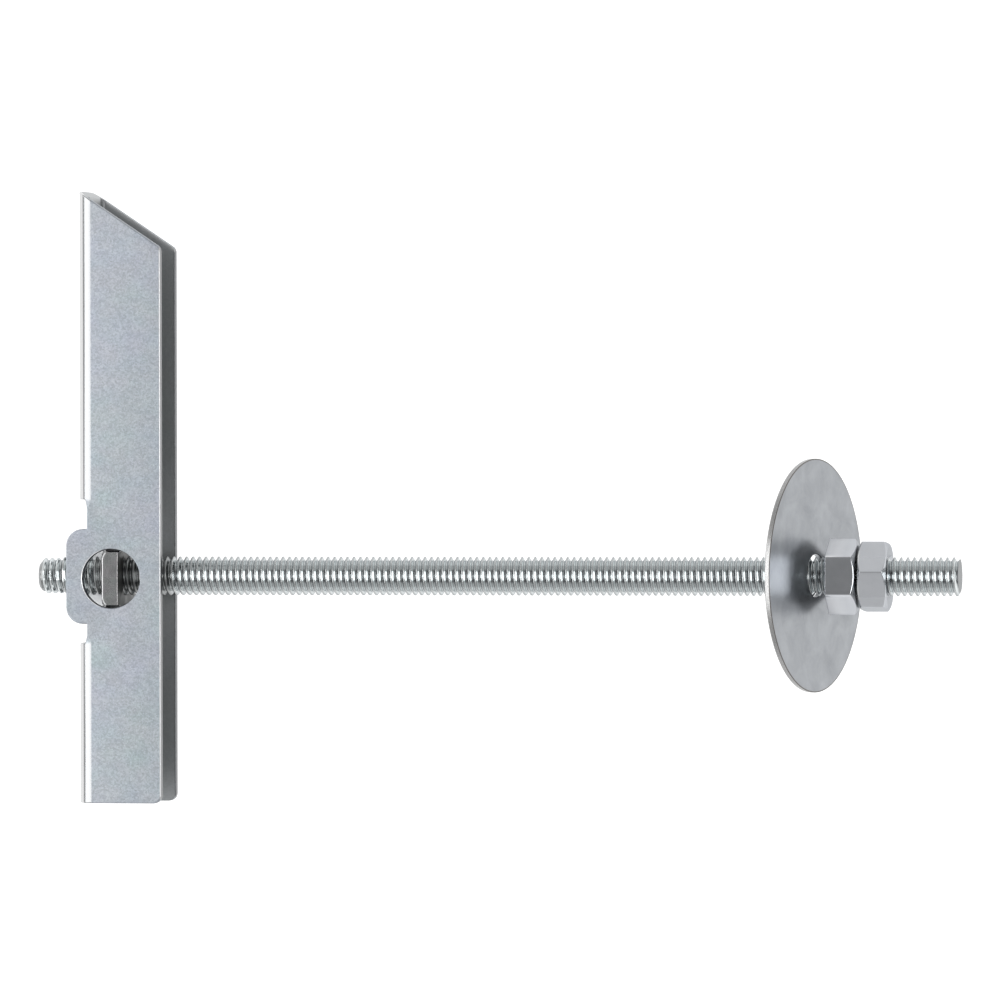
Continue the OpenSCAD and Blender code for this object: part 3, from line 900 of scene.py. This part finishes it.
def bar_zinc():
    """The sheet's colour, then a mask and a coat for each bend, edge and wall, some of them painted
    light and shade.
    """
    f = Finish("bar_zinc")
    x, y, z = f.along(ROD_AXIS), f.along(ARM_AXIS), abs(f.along(PIVOT_AXIS))
    # the window leaves the sheet unbent beside the ears
    bent = abs(y - WINDOW_MIDDLE).rises(WINDOW_HALF, 0.5)
    from_x, from_z = x - BEND_X, z - BEND_START
    from_bend = from_x * from_x + from_z * from_z
    web_side = x.falls(BEND_X + 0.1, 0.2)
    burnished = web_side * from_z.rises(0, 0.3) * from_bend.rises(BEND_R2, 1) * bent
    # painted shade in the hollow inside the bend
    hollow = from_bend.falls(HOLLOW_R2, 0.15) * web_side
    cut, inner = x.rises(CUT_FROM, 0.04), z.falls(FLANGE_IN, 0.1)
    past_bevel = y + PIVOT_DROP + (x + WEB_OUT) * BEVEL - LONG_ARM
    burr = past_bevel.rises(-BURR_WIDTH, 0.5) * inner
    from_pivot = x * x + (y + PIVOT_DROP) * (y + PIVOT_DROP)
    # painted shade on the walls of the pivot holes
    wall = from_pivot.falls(WALL_R2, 0.2)
    # a painted highlight on the hole's lip, on the tip's side only
    lip = from_pivot.falls(LIP_R2, 0.2) * x.falls(LIP_X, 1) * z.rises(FLANGE_OUT, 0.1)
    # painted light on the inner face round each hole, on the tip's side
    round_hole = from_pivot.rises(FLANGE_R2, 0.2) * from_pivot.falls(LIT_PATCH_R2, 20)
    lit_patch = inner * round_hole * x.falls(LIT_PATCH_X, 0.5)

    grain, fine = f.grains(0.24), f.noise(0.14, detail=2.0)
    cloud = f.noise(3.2, detail=5.0, roughness=0.62)
    # painted light: the steep side of the bend gets the lighter colour
    bend = f.blend(from_z.falls(STEEP_TO, 0.05), BEND_FLAT, BEND_STEEP_PAINTED_LIGHT)
    sheared = f.blend(z.rises(SLID_FROM, 0.1), TORN, SLID)
    colour = f.layers(
        sheet_colour(f, grain, fine, cloud), (burnished, bend), (0.75 * inner, INNER_FACE),
        (lit_patch, INNER_PAINTED_LIGHT), (lip, LIP_HIGHLIGHT), (cut, sheared), (burr, BURR), (hollow, HOLLOW_SHADE), (wall, HOLE_WALL_SHADE))
    rough = 0.46 + 0.10 * fine + 0.05 * cloud
    rough = rough * (1.0 - 0.6 * burnished) * (1.0 - 0.4 * lip) * (1.0 - 0.4 * cut)
    bumps = (0.6 * fine + 0.4 * grain) * (1.0 - 0.8 * burnished)
    return f.metal(colour, rough, bumps, 0.012)


# %% [markdown]
# ### The rod
# The dies burnish the flanks of a rolled thread, and zinc plate shines there. Crests are duller. The
# roots carry painted shade along the top and bottom of the rod and painted light on its sides, and the
# stretch inside the bar carries painted shade, with two bands of painted shadow. A place's distance
# from the rod's axis tells crest, flank and root apart, so the finish follows the thread with no
# unwrapping.

# %% Rolled thread
FLANK_LOW, FLANK_HIGH = (0.58, 0.61, 0.615), (0.70, 0.73, 0.735)
CREST_LOW, CREST_HIGH = (0.34, 0.355, 0.355), (0.50, 0.515, 0.52)
# the roots are painted light on the rod's sides and painted shade along its top and bottom
ROOT_SIDE_LIGHT, ROOT_MIDDLE_SHADE = (0.46, 0.48, 0.485), (0.19, 0.20, 0.205)
# the last two are painted shade: on the rod inside the bar, and in two bands of painted shadow
END_FACE, ROD_SHADE_IN_BAR, SHADED = (0.31, 0.315, 0.315), (0.455, 0.465, 0.465), (0.285, 0.292, 0.292)
FLANK_R2, TOP_R2 = 5.9, 7.6  # squares of the radii where the flanks and the crests begin
SHADE_FROM, SHADE_TO, ROOT_SHADE_HALF = -3.6, 9.3, 1.15
# two bands of painted shadow, inside the bar and by its free edge
SHADOW_BANDS = (2.2, 1.5, 0.4), (7.4, 0.9, 0.3)  # where each lies along the rod, half its width, its ramp


def rod_zinc():
    """Bright flanks, duller crests, painted light and shade in the roots, painted shade inside the bar.
    """
    f = Finish("rod_zinc")
    x, y, z = f.along(ROD_AXIS), f.along(ARM_AXIS), f.along(PIVOT_AXIS)
    from_axis = y * y + z * z
    flank, crest = from_axis.rises(FLANK_R2, 0.5), from_axis.rises(TOP_R2, 0.5)
    cone, sawn = x.falls(ROD_TIP + 0.8, 0.2), x.rises(ROD_END - 0.05, 0.03)
    # painted shade on the stretch of rod inside the bar
    painted_shade = x.rises(SHADE_FROM, 0.4) * x.falls(SHADE_TO, 1.8)
    # two bands of painted shadow: inside the bar, and by the bar's free edge
    first, second = (abs(x - middle).falls(half, ramp) for middle, half, ramp in SHADOW_BANDS)
    shaded = (first + second).clamped()
    fine = f.noise(0.11, detail=2.0)
    bright = f.blend(f.noise(1.1).contrast(2.0), FLANK_LOW, FLANK_HIGH)
    dull = f.blend(fine.contrast(2.0), CREST_LOW, CREST_HIGH)
    # painted shade in the roots along the top and bottom of the rod, painted light on its sides
    root = f.blend(abs(y).falls(ROOT_SHADE_HALF, 0.4), ROOT_SIDE_LIGHT, ROOT_MIDDLE_SHADE)
    ends = (sawn + cone).clamped()
    colour = f.layers(root, (flank, bright), (crest, dull), (ends, END_FACE), (0.85 * painted_shade, ROD_SHADE_IN_BAR),
                      (0.9 * shaded, SHADED))
    rough = 0.08 + 0.10 * fine + 0.10 * crest + 0.25 * sawn + 0.12 * painted_shade
    return f.metal(colour, rough, fine, 0.006, Specular_Tint=(0.7, 0.71, 0.72))


# %% [markdown]
# ### The nuts
# Nuts are formed cold in polished dies, so their flats are smooth under the zinc. One material serves
# both nuts, because they came out of one box. Their sloping sides carry painted light towards the
# washer, and so does the groove between the two nuts.

# %% Plated nuts
NUT_LOW, NUT_HIGH = (0.48, 0.495, 0.52), (0.515, 0.53, 0.555)
# both are painted light: on the sloping sides by the washer, and in the groove between the nuts
NUT_SIDE_LIGHT, NUT_GAP_LIGHT = (0.78, 0.79, 0.81), (0.72, 0.73, 0.73)
NUT_GAP_X, NUT_GAP_HALF = 114.29, 0.31
TOP_HALF, BRIGHT_TO = 2.95, 3.0  # half of the top flat, and how far along a nut its sides stay bright


def nut_zinc():
    """Smooth flats, faintly clouded, with painted light on the sides by the washer and in the groove
    between the nuts.
    """
    f = Finish("nut_zinc")
    x, y = f.along(ROD_AXIS), f.along(ARM_AXIS)
    cloud, fine = f.noise(2.0), f.noise(0.10, detail=2.0)
    side = abs(y).rises(TOP_HALF, 0.1)
    near_washer = side * x.falls(HEX_NUT_X + BRIGHT_TO, 2.4)
    # painted light in the groove between the two nuts
    between = abs(x - NUT_GAP_X).falls(NUT_GAP_HALF, 0.08)
    # painted light on the sloping sides towards the washer, less on one side
    painted_light_side = near_washer * (1.0 - 0.35 * y.falls(0.2, 1))
    colour = f.blend(cloud.contrast(2.0), NUT_LOW, NUT_HIGH)
    colour = f.layers(colour, (painted_light_side, NUT_SIDE_LIGHT), (between, NUT_GAP_LIGHT))
    rough = 0.10 + 0.07 * fine + 0.03 * cloud + 0.18 * side
    return f.metal(colour, rough, fine, 0.002, Specular_Tint=(0.6, 0.61, 0.62))


# %% [markdown]
# ### The washer
# Plate on rolled sheet is satin and a little cloudy, and the punch leaves a dull rim. A thin line of
# painted shadow runs round it. The rim's mask needs the distance from the washer's own axis, which
# leans.

# %% Satin washer
WASHER_LOW, WASHER_HIGH = (0.235, 0.247, 0.264), (0.335, 0.349, 0.368)
# the last is a painted shadow line round the rim
RIM_LOW, RIM_HIGH, RIM_SHADOW_LINE = (0.22, 0.22, 0.22), (0.36, 0.36, 0.36), (0.10, 0.095, 0.09)
RIM_R2, RIM_FRONT = 303.6, 0.31


def washer_zinc():
    """Faint clouds, a dull rim and a painted shadow line round it."""
    f = Finish("washer_zinc")
    axle = math.cos(WASHER_LEAN) * ROD_AXIS + math.sin(WASHER_LEAN) * PIVOT_AXIS
    up = math.cos(WASHER_LEAN) * PIVOT_AXIS - math.sin(WASHER_LEAN) * ROD_AXIS
    through = f.along(axle) - WASHER_X * math.cos(WASHER_LEAN)
    u, y = f.along(up) + WASHER_X * math.sin(WASHER_LEAN), f.along(ARM_AXIS) - WASHER_RISE
    edge = (u * u + y * y).rises(RIM_R2, 3.0)
    # a thin line of painted shadow round the rim, on the front face
    line = edge * through.rises(RIM_FRONT, 0.05)
    cloud = f.noise(4.5, detail=6.0, roughness=0.62, distortion=0.4).contrast(2.6)
    fine = f.noise(0.12, detail=2.0)
    rim = f.blend(fine.contrast(4.0), RIM_LOW, RIM_HIGH)
    colour = f.layers(f.blend(cloud, WASHER_LOW, WASHER_HIGH), (edge, rim), (line, RIM_SHADOW_LINE))
    rough = 0.25 + 0.08 * fine + 0.06 * cloud
    return f.metal(colour, rough, fine, 0.004)


# %% [markdown]
# ### The plate nut
# The plate is darker and warmer than the rest, as plain punched steel is. Its edges are rubbed bright,
# and what lies inside the bar or faces the washer carries painted shade.

# %% Punched plate
PLATE_COOL, PLATE_WARM = (0.185, 0.195, 0.192), (0.205, 0.195, 0.205)
# the last is painted shade
PLATE_ROLLED, PLATE_SHARP, PLATE_SHADE = (0.34, 0.335, 0.34), (0.75, 0.745, 0.75), (0.11, 0.112, 0.11)
# how far from the plate's middle its rolled edge, its sharp edge and its face to the washer begin
ROLLED_PAST, SHARP_PAST, FACE_PAST = 1.03, 1.12, 1.235
INSIDE_HALF = 4.45  # half of its width inside the bar


def plate_nut_steel():
    """Scuffed steel with bright edges, and painted shade inside the bar and on the face to the washer.
    """
    f = Finish("plate_nut_steel")
    x = f.along(ROD_AXIS)
    rolled, sharp = x.falls(PLATE_X - ROLLED_PAST, 0.03), x.rises(PLATE_X + SHARP_PAST, 0.03)
    inside_bar = abs(f.along(PIVOT_AXIS)).falls(INSIDE_HALF, 0.2)
    # painted shade on the face to the washer and on what lies inside the bar
    painted_shade = (x.rises(PLATE_X + FACE_PAST, 0.01) + inside_bar).clamped()
    fine = f.noise(0.10, detail=2.0)
    colour = f.blend(f.noise(3.0, detail=2.0).contrast(3.0), PLATE_COOL, PLATE_WARM)
    scuffs = f.blend(f.noise(1.2).contrast(2.0), (0.88, 0.88, 0.88), (1.12, 1.12, 1.12))
    colour = f.layers(f.blend(1.0, colour, scuffs, "MULTIPLY"), (rolled, PLATE_ROLLED),
                      (sharp, PLATE_SHARP), (painted_shade, PLATE_SHADE))
    rough = 0.15 + 0.09 * fine + 0.2 * painted_shade
    return f.metal(colour, rough, fine, 0.004)


# %% Give each piece its finish
def set_material(material, *pieces):
    """Makes a material the only one of each piece."""
    for piece in pieces:
        piece.data.materials.clear()
        piece.data.materials.append(material)


set_material(bar_zinc(), toggle_bar)
set_material(rod_zinc(), rod)
set_material(nut_zinc(), hex_nut, lock_nut)
set_material(washer_zinc(), washer)
set_material(plate_nut_steel(), pivot_nut)

# %% [markdown]
# ## Floor and light
# Metal shows its surroundings more than itself. The floor is a light table, so it stays white under
# the bolt. Straight above it is dark, which gives the nuts and the plate their deep grey, and a large
# softbox on the bar's side draws the glints along the thread and down the bend.
#
# At rest the bolt lies on the plane z = 0, on a corner of the bar and the washer's rim. When the bar
# swings in line with the rod, or the washer slides towards it, they dip up to 5.7 mm below that plane.
# The floor lies a little lower still, so it never cuts them.

# %% Floor
FLOOR, REACH = -0.006, 4.0
floor_mesh = bpy.data.meshes.new("floor")
corners = [(REACH * i, REACH * j, FLOOR) for i, j in ((-1, -1), (1, -1), (1, 1), (-1, 1))]
floor_mesh.from_pydata(corners, [], [(0, 1, 2, 3)])
floor = add_object("floor", floor_mesh)
paper = Finish("floor_paper")
set_material(paper.shade(Base_Color=(0.2, 0.2, 0.2), Roughness=0.9, Emission_Color=(1, 1, 1),
                         Emission_Strength=1.0), floor)

# %% Sky
# light at the sides, a lit wall past the bar's end, and a dark stretch past the washer's
BY_SIDE = ((0.0, 0.30), (0.18, 0.36), (0.61, 0.70), (1.0, 0.95))
BY_END = ((0.0, 0.75), (0.30, 0.5), (0.40, 0.0), (1.0, 0.05))
DARK_END = ((0.0, 1.0), (0.88, 1.0), (0.93, 0.15), (1.0, 0.15))

world = bpy.data.worlds.new("studio")
bpy.context.scene.world = world
world.use_nodes = True
sky = Graph(world.node_tree)
toward = sky.node("ShaderNodeTexCoord", {}, {}, "Generated")
along_x = sky.node("ShaderNodeSeparateXYZ", {}, {0: toward}, "X")
sideways = abs(sky.node("ShaderNodeSeparateXYZ", {}, {0: toward}, "Y"))
to_end = sky.node("ShaderNodeMath", {"operation": "MULTIPLY_ADD"}, {0: along_x, 1: 0.5, 2: 0.5})


def levels(value, stops):
    """Brightness along a value from 0 to 1, given as pairs of place and level."""
    return sky.node("ShaderNodeValToRGB", {"stops": stops}, {0: value})


sides = sky.blend(1.0, levels(sideways, BY_SIDE), levels(to_end, DARK_END), "MULTIPLY")
level = sky.blend(1.0, sides, levels(to_end, BY_END), "LIGHTEN")
sky.plug(world.node_tree.nodes["Background"], {"Color": level})
print("sky:", len(world.node_tree.nodes), "nodes")

# %% Softboxes
LAMP_DISTANCE, LAMP_HEIGHT = 0.8, 0.78


def softbox(name, direction, width, radiance):
    """A rectangle of light that faces the bolt from a direction; radiance is how bright it looks."""
    direction = unit(direction)
    light = bpy.data.lights.new(name, "AREA")
    light.shape, light.size, light.size_y = "RECTANGLE", width, LAMP_HEIGHT
    light.energy = math.pi * width * LAMP_HEIGHT * radiance
    lamp = add_object(name, light)
    lamp.location = Vector(direction * LAMP_DISTANCE)
    lamp.rotation_euler = Vector(direction).to_track_quat("Z", "Y").to_euler()
    print(f"{name}: {light.energy:.1f} W")


softbox("softbox_left", (-0.77, 0.0, 0.64), 0.92, 3.0)
softbox("softbox_right", (0.643, 0.0, 0.766), 0.32, 4.8)
